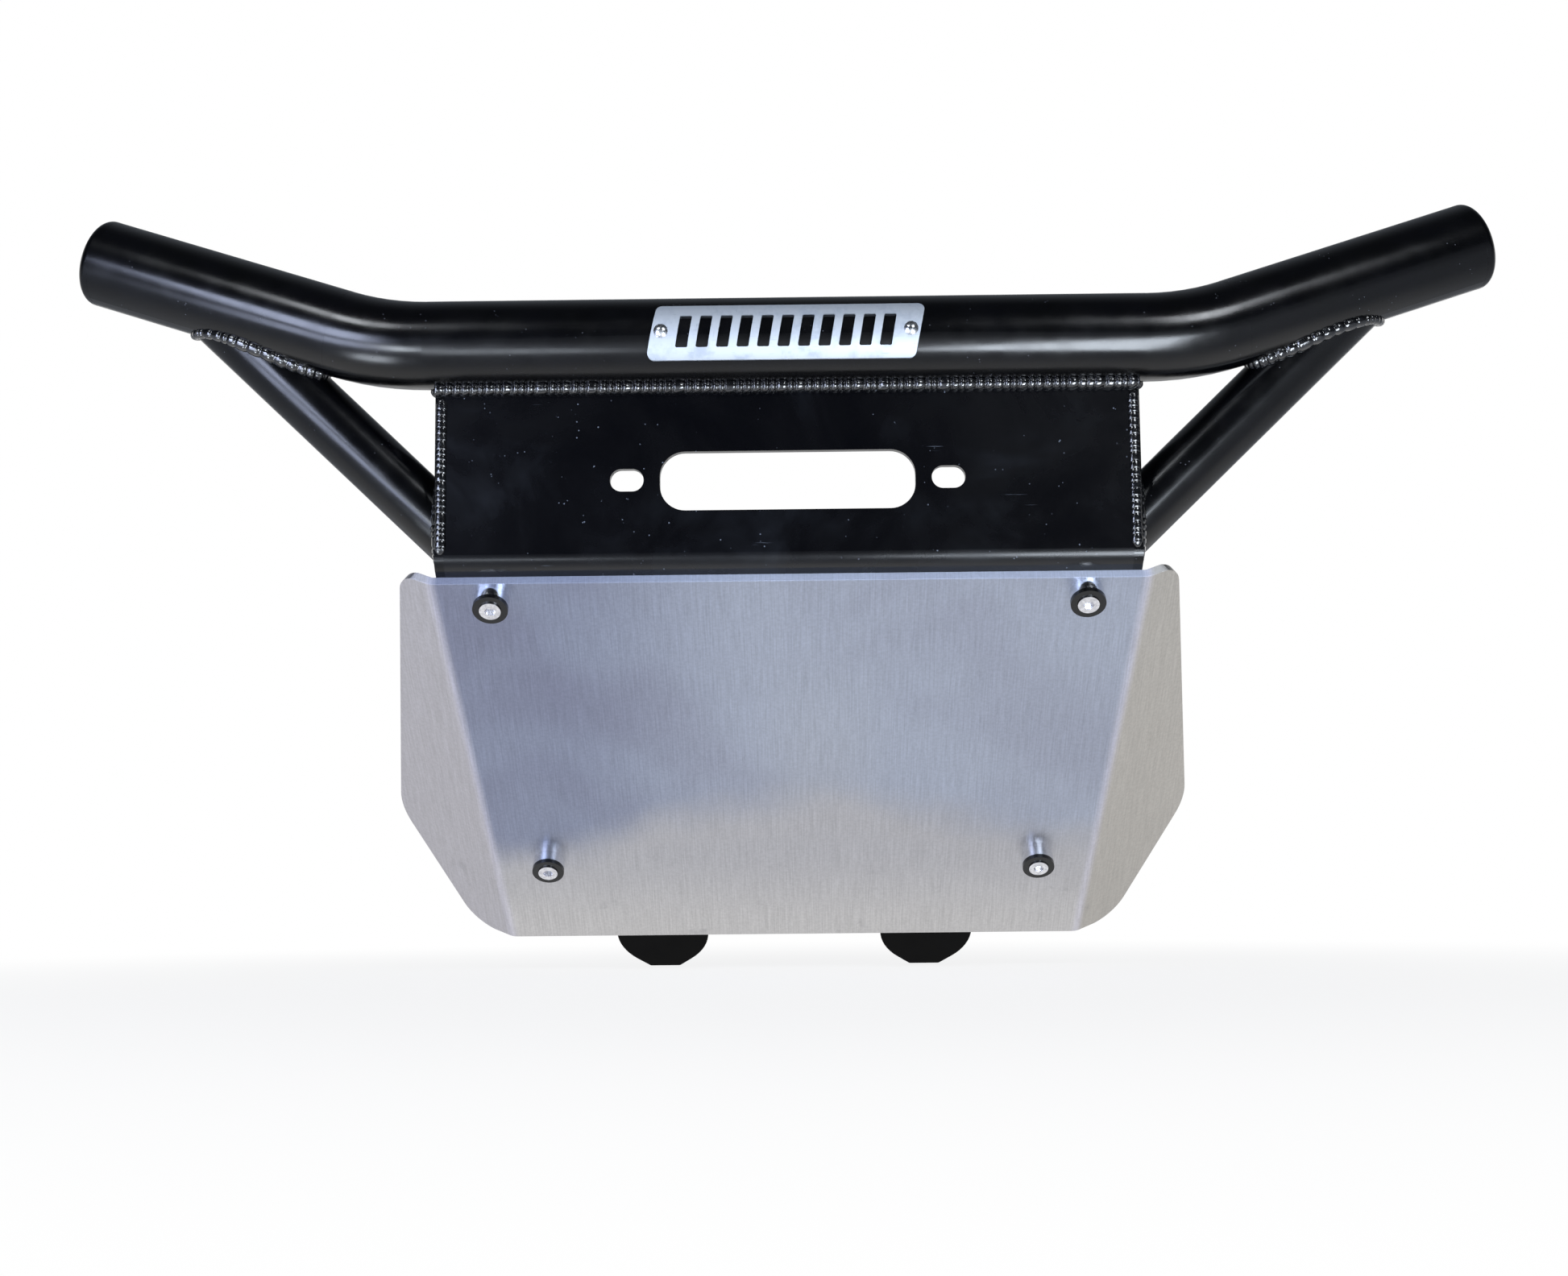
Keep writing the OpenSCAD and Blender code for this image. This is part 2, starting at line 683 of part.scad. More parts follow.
module badge_rivets() {
    dome = (pow(rivet_head_d / 2, 2) + pow(rivet_head_h, 2)) / (2 * rivet_head_h);
    color("#c8c9ce") rivet_places() {
        translate([0, 0, badge_t]) intersection() {
            translate([0, 0, rivet_head_h - dome]) sphere(r = dome, $fn = 48);
            cylinder(d = rivet_head_d, h = rivet_head_h, $fn = 32);
        }
        translate([0, 0, -tube_wall - rivet_tail])
            cylinder(d = rivet_d, h = tube_wall + rivet_tail + badge_t, $fn = 32);
    }
}

main_tube();
end_cap_left();
end_cap_right();
brace_left();
brace_right();
fairlead_plate();
side_plate_left();
side_plate_right();
tube_seam();
corner_weld_left();
corner_weld_right();
side_weld_left();
side_weld_right();
foot_weld_left();
foot_weld_right();
head_weld_left();
head_weld_right();
lower_frame();
leg_welds();
skid_plate();
skid_screws();
skid_rings();
skid_spacers();
skid_nuts();
badge_plate();
badge_rivets();
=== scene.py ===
# Looks of the vehicle front bumper: materials, rippled weld beads, lights and camera.
import math
import random

import bpy
from mathutils import Matrix, Vector

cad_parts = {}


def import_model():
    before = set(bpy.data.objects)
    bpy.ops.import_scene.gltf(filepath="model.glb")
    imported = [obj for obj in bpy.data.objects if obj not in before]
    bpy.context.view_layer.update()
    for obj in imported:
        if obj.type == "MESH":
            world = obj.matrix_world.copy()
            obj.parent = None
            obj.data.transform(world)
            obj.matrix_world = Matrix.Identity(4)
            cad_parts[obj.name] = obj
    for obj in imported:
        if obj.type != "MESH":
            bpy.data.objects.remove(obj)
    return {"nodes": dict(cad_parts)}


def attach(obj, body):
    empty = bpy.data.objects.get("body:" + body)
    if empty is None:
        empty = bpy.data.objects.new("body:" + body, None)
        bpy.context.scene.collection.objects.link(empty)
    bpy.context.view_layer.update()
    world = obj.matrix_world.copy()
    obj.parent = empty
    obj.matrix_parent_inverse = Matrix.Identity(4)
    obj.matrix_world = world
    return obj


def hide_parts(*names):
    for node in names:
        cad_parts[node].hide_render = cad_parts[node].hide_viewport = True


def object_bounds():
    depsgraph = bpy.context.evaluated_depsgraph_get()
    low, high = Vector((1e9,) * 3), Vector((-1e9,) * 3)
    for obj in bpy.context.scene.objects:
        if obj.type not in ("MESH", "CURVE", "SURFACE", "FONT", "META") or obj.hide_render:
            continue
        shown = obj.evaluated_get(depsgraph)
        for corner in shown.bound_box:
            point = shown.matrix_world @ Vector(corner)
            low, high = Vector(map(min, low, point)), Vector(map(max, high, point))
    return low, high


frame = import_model()
cad_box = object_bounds()
nodes = frame["nodes"]

# Sizes of the source, in metres
TUBE_R = 0.022225
TUBE_Y = 0.00238
TUBE_Z = 0.0704
STRAIGHT_HALF = 0.18
BEND_R = 0.13
BEND_ANGLE = math.radians(20)
BEND_ROLL = math.radians(20)
BEND_HALF = STRAIGHT_HALF + BEND_R * math.tan(BEND_ANGLE / 2)
BOX_HALF = 0.17625
BRACE_R = 0.015875
BRACE_FOOT = Vector((BOX_HALF, 0.028, -0.018))
BRACE_AT = 0.1085
LEAN = math.radians(50)
PLATE_FOOT = -0.0415
FOLD_R = 0.010
FOLD_TOP = PLATE_FOOT + FOLD_R * math.tan(LEAN / 2)
FOLD_BAND = (-0.046, -0.036)
SEAM_Z = TUBE_Z - math.sqrt(TUBE_R ** 2 - TUBE_Y ** 2)
SEAM_LEG = 0.0042
BEAD_R = 0.004
HEAD_SWELL = 0.35
CORNER_W = 0.006
CORNER_H = 0.0016
SHEET_T = 0.00476
SKID_ORIGIN = Vector((0, 0.003605, -0.050739))
SKID_HALF = 0.1792
SKID_LEN = 0.279
SKID_TAPER = 0.0473
FLANGE_END = 0.0253
LEG_X = 0.078
LEG_W = 0.054

# The fitted camera's focal length and the photograph's width, in pixels, and the sensor in mm
FOCAL = 2543
PHOTO_WIDTH = 1946
SENSOR = 36

# Lamps: height of the ones on the floor, and colours
STRIP_Z = cad_box[0][2] + 0.006
COOL, PALE, BLUE = (0.82, 0.90, 1.0), (0.90, 0.95, 1.0), (0.66, 0.74, 1.0)

ARM_DIR = Vector((math.cos(BEND_ANGLE), math.sin(BEND_ANGLE) * math.sin(BEND_ROLL),
                  math.sin(BEND_ANGLE) * math.cos(BEND_ROLL)))
ARM_ROOT = Vector((BEND_HALF, TUBE_Y, TUBE_Z))
BRACE_HEAD = ARM_ROOT + BRACE_AT * ARM_DIR
BRACE_DIR = (BRACE_HEAD - BRACE_FOOT).normalized()
BRACE_E1 = BRACE_DIR.cross(Vector((0, 1, 0))).normalized()
BRACE_E2 = BRACE_DIR.cross(BRACE_E1)


# Materials: small helpers that build node trees

class Tree:
    def __init__(self, name):
        self.mat = bpy.data.materials.new(name)
        self.mat.use_nodes = True
        self.nt = self.mat.node_tree
        self.nt.nodes.clear()
        self.out = self.node("ShaderNodeOutputMaterial")
        self.bsdf = self.node("ShaderNodeBsdfPrincipled")
        self.link(self.bsdf.outputs["BSDF"], self.out.inputs["Surface"])
        self.coord = self.node("ShaderNodeTexCoord").outputs["Object"]

    def node(self, kind, **settings):
        made = self.nt.nodes.new(kind)
        for key, value in settings.items():
            setattr(made, key, value)
        return made

    def link(self, a, b):
        self.nt.links.new(a, b)

    def put(self, socket, value):
        if isinstance(value, bpy.types.NodeSocket):
            self.link(value, socket)
        else:
            socket.default_value = value

    def math(self, op, a, b=0.0, clamp=False):
        made = self.node("ShaderNodeMath", operation=op, use_clamp=clamp)
        for i, value in enumerate((a, b)):
            self.put(made.inputs[i], value)
        return made.outputs[0]

    def scaled(self, sx, sy, sz):
        made = self.node("ShaderNodeMapping")
        self.link(self.coord, made.inputs["Vector"])
        made.inputs["Scale"].default_value = (sx, sy, sz)
        return made.outputs["Vector"]

    def noise(self, scale, detail=2.0, rough=0.5, source=None, distortion=0.0):
        made = self.node("ShaderNodeTexNoise")
        self.link(source or self.coord, made.inputs["Vector"])
        made.inputs["Scale"].default_value = scale
        made.inputs["Detail"].default_value = detail
        made.inputs["Roughness"].default_value = rough
        made.inputs["Distortion"].default_value = distortion
        return made.outputs["Fac"]

    def cells(self, scale):
        made = self.node("ShaderNodeTexVoronoi")
        self.link(self.coord, made.inputs["Vector"])
        made.inputs["Scale"].default_value = scale
        return made.outputs["Distance"]

    def span(self, value, lo, hi, to_lo=0.0, to_hi=1.0, smooth=True):
        made = self.node("ShaderNodeMapRange")
        made.interpolation_type = "SMOOTHSTEP" if smooth else "LINEAR"
        self.put(made.inputs["Value"], value)
        made.inputs["From Min"].default_value = lo
        made.inputs["From Max"].default_value = hi
        made.inputs["To Min"].default_value = to_lo
        made.inputs["To Max"].default_value = to_hi
        return made.outputs["Result"]

    def mix(self, fac, a, b):
        made = self.node("ShaderNodeMix", data_type="RGBA")
        self.put(made.inputs["Factor"], fac)
        for socket, value in ((made.inputs[6], a), (made.inputs[7], b)):
            if isinstance(value, bpy.types.NodeSocket):
                self.link(value, socket)
            else:
                socket.default_value = (*value, 1.0)
        return made.outputs[2]

    def bump(self, height, strength, distance, before=None):
        made = self.node("ShaderNodeBump")
        self.link(height, made.inputs["Height"])
        made.inputs["Strength"].default_value = strength
        made.inputs["Distance"].default_value = distance
        if before is not None:
            self.link(before, made.inputs["Normal"])
        return made.outputs["Normal"]

    def axes(self):
        made = self.node("ShaderNodeSeparateXYZ")
        self.link(self.coord, made.inputs[0])
        return made.outputs

    def slope(self):
        # Distance down the skid plate's slope from its top edge
        down = Vector((0, math.sin(LEAN), -math.cos(LEAN)))
        made = self.node("ShaderNodeVectorMath", operation="DOT_PRODUCT")
        self.link(self.coord, made.inputs[0])
        made.inputs[1].default_value = down
        return self.math("SUBTRACT", made.outputs["Value"], SKID_ORIGIN.dot(down))


def powder(name, base, tint, rough, grain, speck, shine=0.46):
    # Satin powder coat: fine orange peel, faint cloudy tone, a few pale specks of dust
    t = Tree(name)
    t.bsdf.inputs["Specular IOR Level"].default_value = shine
    cloud = t.noise(38, 3, 0.6)
    colour = t.mix(t.span(cloud, 0.35, 0.7), base, tint)
    dots = t.cells(420)
    pick = t.span(t.noise(90, 1), 0.63, 0.68)
    dust = t.math("MULTIPLY", t.span(dots, 0.08, 0.14, 1.0, 0.0), pick, clamp=True)
    dust = t.math("MULTIPLY", dust, speck)
    t.link(t.mix(dust, colour, (0.14, 0.15, 0.18)), t.bsdf.inputs["Base Color"])
    peel = t.noise(1500, 2, 0.5)
    t.link(t.math("ADD", t.span(t.noise(60, 4, 0.65), 0.3, 0.75, rough - 0.035, rough + 0.05),
                  t.math("MULTIPLY", dust, 0.4)), t.bsdf.inputs["Roughness"])
    t.link(t.bump(peel, grain, 0.0002), t.bsdf.inputs["Normal"])
    return t.mat


def fairlead_paint():
    # The same coat on the flat plate, duller, with wiped smears and fine scuffs
    t = Tree("fairlead_paint")
    # The coat shines more on the bottom fold than on the flat face
    t.link(t.span(t.axes()[2], *FOLD_BAND, 0.70, 0.24), t.bsdf.inputs["Specular IOR Level"])
    smear = t.noise(16, 5, 0.62, distortion=0.6)
    wipe = t.noise(9, 3, 0.6, t.scaled(0.6, 1, 2.2), 1.2)
    haze = t.math("MULTIPLY", t.span(smear, 0.46, 0.7), t.span(wipe, 0.42, 0.66))
    colour = t.mix(haze, (0.0005, 0.0006, 0.0014), (0.0020, 0.0029, 0.0052))
    dots = t.cells(330)
    pick = t.span(t.noise(120, 1), 0.58, 0.66)
    dust = t.math("MULTIPLY", t.span(dots, 0.09, 0.15, 1.0, 0.0), pick, clamp=True)
    line = t.noise(1, 1, 0.5, t.scaled(30, 30, 1400))
    scuff = t.math("MULTIPLY", t.span(line, 0.72, 0.78), t.span(t.noise(45, 2), 0.6, 0.7))
    worn = t.math("MAXIMUM", t.math("MULTIPLY", dust, 0.55), t.math("MULTIPLY", scuff, 0.35))
    t.link(t.mix(worn, colour, (0.22, 0.25, 0.31)), t.bsdf.inputs["Base Color"])
    t.link(t.math("ADD", t.span(smear, 0.3, 0.7, 0.22, 0.30), t.math("MULTIPLY", haze, 0.06)),
           t.bsdf.inputs["Roughness"])
    t.link(t.bump(t.noise(1300, 2, 0.5), 0.10, 0.0002), t.bsdf.inputs["Normal"])
    return t.mat


def weld_paint():
    # Glossy coat that has run over the ripples of the welds
    t = Tree("weld_paint")
    colour = t.mix(t.span(t.noise(420, 3), 0.4, 0.7), (0.0015, 0.0015, 0.002),
                   (0.005, 0.0055, 0.007))
    t.link(colour, t.bsdf.inputs["Base Color"])
    t.link(t.span(t.noise(300, 3), 0.3, 0.7, 0.10, 0.24), t.bsdf.inputs["Roughness"])
    t.link(t.bump(t.noise(700, 3, 0.6), 0.35, 0.0004), t.bsdf.inputs["Normal"])
    t.bsdf.inputs["Specular IOR Level"].default_value = 0.80
    t.bsdf.inputs["Coat Weight"].default_value = 1.0
    t.bsdf.inputs["Coat Roughness"].default_value = 0.08
    return t.mat


def brushed_sheet():
    # Aluminium brushed up and down the slope; the cool and warm fields that the studio's light
    # makes on it in the photograph are part of its colour here
    t = Tree("brushed_sheet")
    x = t.axes()[0]
    s = t.slope()
    flat = t.node("ShaderNodeCombineXYZ")
    t.link(t.math("MULTIPLY", x, 1350.0), flat.inputs[0])
    t.link(t.math("MULTIPLY", s, 36.0), flat.inputs[1])
    fine = t.noise(1.0, 3, 0.6, flat.outputs[0])
    wide = t.node("ShaderNodeCombineXYZ")
    t.link(t.math("MULTIPLY", x, 300.0), wide.inputs[0])
    t.link(t.math("MULTIPLY", s, 9.0), wide.inputs[1])
    broad = t.noise(1.0, 2, 0.5, wide.outputs[0])
    mottle = t.noise(620, 2, 0.6)
    # Wavy border between the cool upper field and the warm lower one: a curve height of 1 is
    # 0.3 m down the slope
    u = t.span(x, -0.17, 0.17, smooth=False)
    curve = t.node("ShaderNodeFloatCurve")
    t.link(u, curve.inputs["Value"])
    line = curve.mapping.curves[0]
    line.points[0].location = (0.0, 0.68)
    line.points[1].location = (1.0, 0.63)
    for px, py in ((0.17, 0.655), (0.30, 0.585), (0.43, 0.55), (0.58, 0.533), (0.69, 0.557),
                   (0.82, 0.607)):
        line.points.new(px, py)
    curve.mapping.update()
    border = t.math("MULTIPLY", curve.outputs["Value"], 0.3)
    past = t.math("SUBTRACT", s, border)
    stray = t.math("MULTIPLY", t.math("SUBTRACT", t.noise(24, 3), 0.5), 0.03)
    ragged = t.math("ADD", past, stray)
    warm = t.span(ragged, -0.020, 0.022)
    # Painted reflection: a lighter column down the slope, a little right of the middle, fading in
    # below the top edge
    column = t.math("MULTIPLY", t.span(t.math("ABSOLUTE", t.math("SUBTRACT", x, 0.017)),
                                       0.004, 0.045, 1.0, 0.0),
                    t.span(s, 0.02, 0.15))
    # Painted reflection: the cool upper field, patchy, darker on the left than on the right
    patch = t.noise(10, 2, 0.5, distortion=0.4)
    reflection_patches = t.span(patch, 0.35, 0.68)
    cool_left = t.mix(reflection_patches, (0.245, 0.265, 0.365), (0.290, 0.325, 0.435))
    cool_right = t.mix(reflection_patches, (0.375, 0.405, 0.500), (0.415, 0.455, 0.555))
    cool = t.mix(t.span(x, -0.13, 0.0), cool_left, cool_right)
    cool = t.mix(t.math("MULTIPLY", column, 0.55), cool, (0.45, 0.48, 0.55))
    # Painted reflection: the warm lower field, lighter towards the bottom edge
    low = t.mix(t.span(s, 0.20, SKID_LEN), (0.48, 0.48, 0.51), (0.58, 0.57, 0.57))
    middle = t.mix(warm, cool, low)
    # The wings take the light from the sides and read as a plain warm grey
    edge = t.math("SUBTRACT", t.math("ABSOLUTE", x),
                  t.math("SUBTRACT", SKID_HALF, t.math("MULTIPLY", s, SKID_TAPER)))
    wing = t.span(edge, -0.001, 0.002)
    side = t.span(x, -0.1, 0.1)
    colour = t.mix(wing, middle, t.mix(side, (0.495, 0.485, 0.52), (0.505, 0.485, 0.455)))
    # Painted highlight: a light band along each fold line between the sheet and its wings
    fold_highlight = t.span(t.math("ABSOLUTE", edge), 0.0, 0.0042, 1.0, 0.0)
    colour = t.mix(t.math("MULTIPLY", fold_highlight, 0.55), colour, (0.66, 0.65, 0.75))
    rub = t.math("MULTIPLY", t.span(t.noise(55, 3, 0.6), 0.62, 0.74), t.span(s, 0.19, 0.24))
    colour = t.mix(t.math("MULTIPLY", rub, 0.30), colour, (0.30, 0.30, 0.32))
    grain = t.math("ADD", t.math("MULTIPLY", t.span(fine, 0.25, 0.75, 0.84, 1.14), 0.75),
                   t.math("MULTIPLY", t.span(broad, 0.3, 0.7, 0.93, 1.06), 0.25))
    grain = t.math("MULTIPLY", grain, t.span(mottle, 0.3, 0.7, 0.95, 1.05))
    value = t.node("ShaderNodeHueSaturation")
    t.link(colour, value.inputs["Color"])
    t.link(grain, value.inputs["Value"])
    t.link(value.outputs["Color"], t.bsdf.inputs["Base Color"])
    # The sawn top edge is duller than the sheet
    t.link(t.span(s, 0.0001, 0.0010, 0.0, 1.0), t.bsdf.inputs["Metallic"])
    t.link(t.math("ADD", t.span(fine, 0.25, 0.75, 0.30, 0.44), t.math("MULTIPLY", wing, 0.08)),
           t.bsdf.inputs["Roughness"])
    low_bump = t.bump(broad, 0.05, 0.0004)
    t.link(t.bump(fine, 0.14, 0.0001, low_bump), t.bsdf.inputs["Normal"])
    return t.mat


def metal(name, dark, light, rough_lo, rough_hi, scale, grain):
    # Bare metal of the fasteners, mottled between two tones
    t = Tree(name)
    t.link(t.mix(t.span(t.noise(scale, 3, 0.6), 0.3, 0.72), dark, light),
           t.bsdf.inputs["Base Color"])
    t.bsdf.inputs["Metallic"].default_value = 1.0
    t.link(t.span(t.noise(scale * 2.3, 3, 0.6), 0.3, 0.7, rough_lo, rough_hi),
           t.bsdf.inputs["Roughness"])
    t.link(t.bump(t.noise(scale * 5, 2), grain, 0.0001), t.bsdf.inputs["Normal"])
    return t.mat


def badge_metal():
    # Bright sheet with short crossing scratches and dull handling marks
    t = Tree("badge_metal")
    one = t.noise(1, 1, 0.5, t.scaled(90, 400, 2400))
    two = t.noise(1, 1, 0.5, t.scaled(1700, 300, 200))
    marks = t.math("MAXIMUM", t.span(one, 0.66, 0.74), t.span(two, 0.70, 0.77))
    marks = t.math("MULTIPLY", marks, t.span(t.noise(150, 2), 0.42, 0.6))
    dull = t.span(t.noise(70, 4, 0.65), 0.45, 0.7)
    colour = t.mix(dull, (0.54, 0.58, 0.63), (0.43, 0.47, 0.53))
    t.link(t.mix(t.math("MULTIPLY", marks, 0.6), colour, (0.36, 0.40, 0.46)),
           t.bsdf.inputs["Base Color"])
    t.bsdf.inputs["Metallic"].default_value = 0.75
    t.link(t.math("ADD", t.span(dull, 0.0, 1.0, 0.58, 0.68), t.math("MULTIPLY", marks, 0.10)),
           t.bsdf.inputs["Roughness"])
    t.link(t.bump(marks, 0.18, 0.0001), t.bsdf.inputs["Normal"])
    return t.mat


def dress(material, *names):
    for name in names:
        slots = nodes[name].material_slots
        if not slots:
            nodes[name].data.materials.append(material)
        for slot in slots:
            slot.material = material


bead_paint = weld_paint()
dress(powder("frame_paint", (0.0004, 0.0005, 0.0008), (0.0008, 0.0009, 0.0016), 0.205, 0.05, 0.5),
      "main_tube", "end_cap_left", "end_cap_right", "brace_left", "brace_right",
      "side_plate_left", "side_plate_right")
dress(powder("leg_paint", (0.0003, 0.0003, 0.0005), (0.0008, 0.0008, 0.0012), 0.45, 0.08, 0.2,
             0.05), "lower_frame")
dress(fairlead_paint(), "fairlead_plate")
dress(brushed_sheet(), "skid_plate")
dress(metal("screw_metal", (0.62, 0.62, 0.66), (0.84, 0.84, 0.87), 0.14, 0.26, 500, 0.08),
      "skid_screws")
dress(powder("ring_black", (0.0030, 0.0030, 0.0035), (0.0055, 0.0055, 0.0065), 0.22, 0.05, 0.0),
      "skid_rings")
dress(metal("spacer_metal", (0.72, 0.73, 0.76), (0.86, 0.87, 0.90), 0.08, 0.18, 300, 0.06),
      "skid_spacers")
dress(metal("nut_metal", (0.42, 0.42, 0.44), (0.60, 0.60, 0.62), 0.28, 0.42, 260, 0.15),
      "skid_nuts")
dress(badge_metal(), "badge_plate")
dress(metal("rivet_metal", (0.66, 0.69, 0.74), (0.85, 0.87, 0.90), 0.18, 0.32, 400, 0.12),
      "badge_rivets")


# Weld beads: strips of overlapping ripples swept along a path

def ripple(along, across, pitch, rng_phase):
    # Height of the stacked ripples at a place along and across the bead, from 0 to 1
    phase = (along / pitch + 0.42 * across * across + rng_phase) % 1.0
    return math.sin(math.pi * phase ** 0.8) ** 0.7


def wobble(rng, count, size):
    # Slow random swelling of a bead, the same at both ends of a closed one
    knots = [rng.uniform(-size, size) for _ in range(count)]

    def at(u):
        k = (u % 1.0) * count
        i = int(k)
        w = k - i
        w = w * w * (3 - 2 * w)
        return knots[i % count] * (1 - w) + knots[(i + 1) % count] * w
    return at


def bead(name, stations, closed, length, radii, arc, pitch, depth, seed, taper=0.0, lump=0.0):
    # stations: list of (centre, first axis, second axis); arc: angles of the section in degrees;
    # lump: how much a closed bead swells where it starts
    rng = random.Random(seed)
    swell = wobble(rng, max(4, int(length / 0.009)), 0.09)
    shift = wobble(rng, max(4, int(length / 0.005)), 0.35)
    rows = len(stations)
    cols = 15
    verts, faces = [], []
    for i, (centre, e1, e2) in enumerate(stations):
        u = i / rows if closed else i / (rows - 1)
        along = u * length
        fall = 1.0
        if taper and not closed:
            end = min(along, length - along) / taper
            fall = min(1.0, math.sqrt(max(0.0, min(1.0, end))) + 0.02)
        for k in range(cols):
            v = -1 + 2 * k / (cols - 1)
            a = math.radians(arc[0] + (arc[1] - arc[0]) * k / (cols - 1))
            rib = ripple(along, v, pitch, shift(u)) * (1 - abs(v) ** 3)
            r = 1.0 - depth + depth * rib + swell(u) * (1 - v * v)
            r = min(r, 1.0) * fall * (1.0 + lump * math.cos(2 * math.pi * u))
            verts.append(centre + e1 * (radii[0] * r * math.cos(a))
                         + e2 * (radii[1] * r * math.sin(a)))
    for i in range(rows if closed else rows - 1):
        j = (i + 1) % rows
        for k in range(cols - 1):
            faces.append((i * cols + k, j * cols + k, j * cols + k + 1, i * cols + k + 1))
    mesh = bpy.data.meshes.new(name)
    mesh.from_pydata([tuple(v) for v in verts], [], faces)
    mesh.update()
    for polygon in mesh.polygons:
        polygon.use_smooth = True
    piece = bpy.data.objects.new(name, mesh)
    bpy.context.scene.collection.objects.link(piece)
    mesh.materials.append(bead_paint)
    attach(piece, "root")
    return piece


def mirrored(v, side):
    return Vector((v.x * side, v.y, v.z))


def seam_bead():
    length = 2 * BOX_HALF
    rows = 1100
    centre_y, centre_z = -0.1 * SEAM_LEG, SEAM_Z - 0.3 * SEAM_LEG
    stations = []
    for i in range(rows):
        x = -BOX_HALF + length * i / (rows - 1)
        stations.append((Vector((x, centre_y, centre_z)), Vector((0, 1, 0)), Vector((0, 0, 1))))
    piece = bead("seam_bead", stations, False, length, (SEAM_LEG, SEAM_LEG), (282, 85), 0.0043,
                 0.36, 11)
    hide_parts("tube_seam")


def corner_bead(side, tag, seed):
    z0, z1 = FOLD_TOP, SEAM_Z - 1.3 * SEAM_LEG
    rows = 380
    half = CORNER_W / 2
    stations = []
    for i in range(rows):
        z = z0 + (z1 - z0) * i / (rows - 1)
        stations.append((Vector((side * (BOX_HALF - half), 0.0002, z)), Vector((1, 0, 0)),
                         Vector((0, -1, 0))))
    piece = bead("corner_bead_" + tag, stations, False, z1 - z0, (half, CORNER_H + 0.0002),
                 (0, 180), 0.0034, 0.16, seed, taper=0.003)
    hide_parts("corner_weld_" + tag)


def side_bead(side, tag, seed):
    rows = 160
    length = TUBE_R * math.radians(76)
    stations = []
    for i in range(rows):
        a = math.radians(4 + 76 * i / (rows - 1))
        out = Vector((0, math.sin(a), -math.cos(a)))
        centre = Vector((side * BOX_HALF, TUBE_Y, TUBE_Z)) + out * TUBE_R
        stations.append((centre, out, Vector((side, 0, 0))))
    piece = bead("side_bead_" + tag, stations, False, length, (SEAM_LEG, SEAM_LEG), (-12, 102),
                 0.0028, 0.25, seed, taper=0.004)
    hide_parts("side_weld_" + tag)


def foot_point(a):
    p = BRACE_FOOT + BRACE_R * (math.cos(a) * BRACE_E1 + math.sin(a) * BRACE_E2)
    return p + BRACE_DIR * ((BRACE_FOOT.x - p.x) / BRACE_DIR.x)


def head_point(a):
    p = BRACE_FOOT + BRACE_R * (math.cos(a) * BRACE_E1 + math.sin(a) * BRACE_E2)
    m = p - ARM_ROOT
    mp = m - m.dot(ARM_DIR) * ARM_DIR
    up = BRACE_DIR - BRACE_DIR.dot(ARM_DIR) * ARM_DIR
    qa, qb, qc = up.dot(up), mp.dot(up), mp.dot(mp) - TUBE_R ** 2
    return p + BRACE_DIR * ((-qb - math.sqrt(qb * qb - qa * qc)) / qa)


def ring_bead(point, side, name, node, pitch, depth, seed, lump=0.0):
    rows = 420
    path = [point(2 * math.pi * i / rows) for i in range(rows)]
    length = sum((path[(i + 1) % rows] - path[i]).length for i in range(rows))
    stations = []
    for i in range(rows):
        t = (path[(i + 1) % rows] - path[i - 1]).normalized()
        p = path[i] - BRACE_FOOT
        out = (p - p.dot(BRACE_DIR) * BRACE_DIR).normalized()
        n1 = (out - out.dot(t) * t).normalized()
        n2 = t.cross(n1)
        stations.append((mirrored(path[i], side), mirrored(n1, side), mirrored(n2, side)))
    piece = bead(name, stations, True, length, (BEAD_R, BEAD_R), (-180, 180), pitch, depth, seed,
                 lump=lump)
    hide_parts(node)


def leg_bead(side, tag, seed):
    up = Vector((0, -math.sin(LEAN), math.cos(LEAN)))
    back = Vector((0, math.cos(LEAN), math.sin(LEAN)))
    base = SKID_ORIGIN - FLANGE_END * up + 2 * SHEET_T * back
    rows = 220
    stations = []
    for i in range(rows):
        x = side * LEG_X - LEG_W / 2 + LEG_W * i / (rows - 1)
        stations.append((base + Vector((x, 0, 0)), up, back))
    return bead("leg_bead_" + tag, stations, False, LEG_W, (0.004, 0.0018), (-4, 184), 0.0030, 0.30,
                seed, taper=0.003)


seam_bead()
leg_beads = [leg_bead(side, tag, 61 + side) for side, tag in ((-1, "left"), (1, "right"))]
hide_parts("leg_welds")
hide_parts("leg_welds")
for side, tag in ((-1, "left"), (1, "right")):
    corner_bead(side, tag, 21 + side)
    side_bead(side, tag, 31 + side)
    ring_bead(foot_point, side, "foot_bead_" + tag, "foot_weld_" + tag, 0.0034, 0.20, 41 + side)
    ring_bead(head_point, side, "head_bead_" + tag, "head_weld_" + tag, 0.0040, 0.26, 51 + side,
              HEAD_SWELL)


# Camera, fitted to the photograph

def camera():
    pitch, yaw, roll = (math.radians(v) for v in (6.84, -0.45, -0.57))
    fw = Vector((math.sin(yaw) * math.cos(pitch), math.cos(yaw) * math.cos(pitch), math.sin(pitch)))
    right = fw.cross(Vector((0, 0, 1))).normalized()
    up = right.cross(fw)
    rr = math.cos(roll) * right + math.sin(roll) * up
    uu = -math.sin(roll) * right + math.cos(roll) * up
    data = bpy.data.cameras.new("camera")
    data.sensor_fit = "HORIZONTAL"
    data.sensor_width = SENSOR
    data.lens = FOCAL / PHOTO_WIDTH * SENSOR
    data.clip_start = 0.01
    made = bpy.data.objects.new("camera", data)
    turn = Matrix((rr, uu, -fw)).transposed()
    made.matrix_world = Matrix.Translation((0.00531, -1.00478, -0.20068)) @ turn.to_4x4()
    bpy.context.scene.collection.objects.link(made)
    bpy.context.scene.camera = made


# Floor, world and lamps

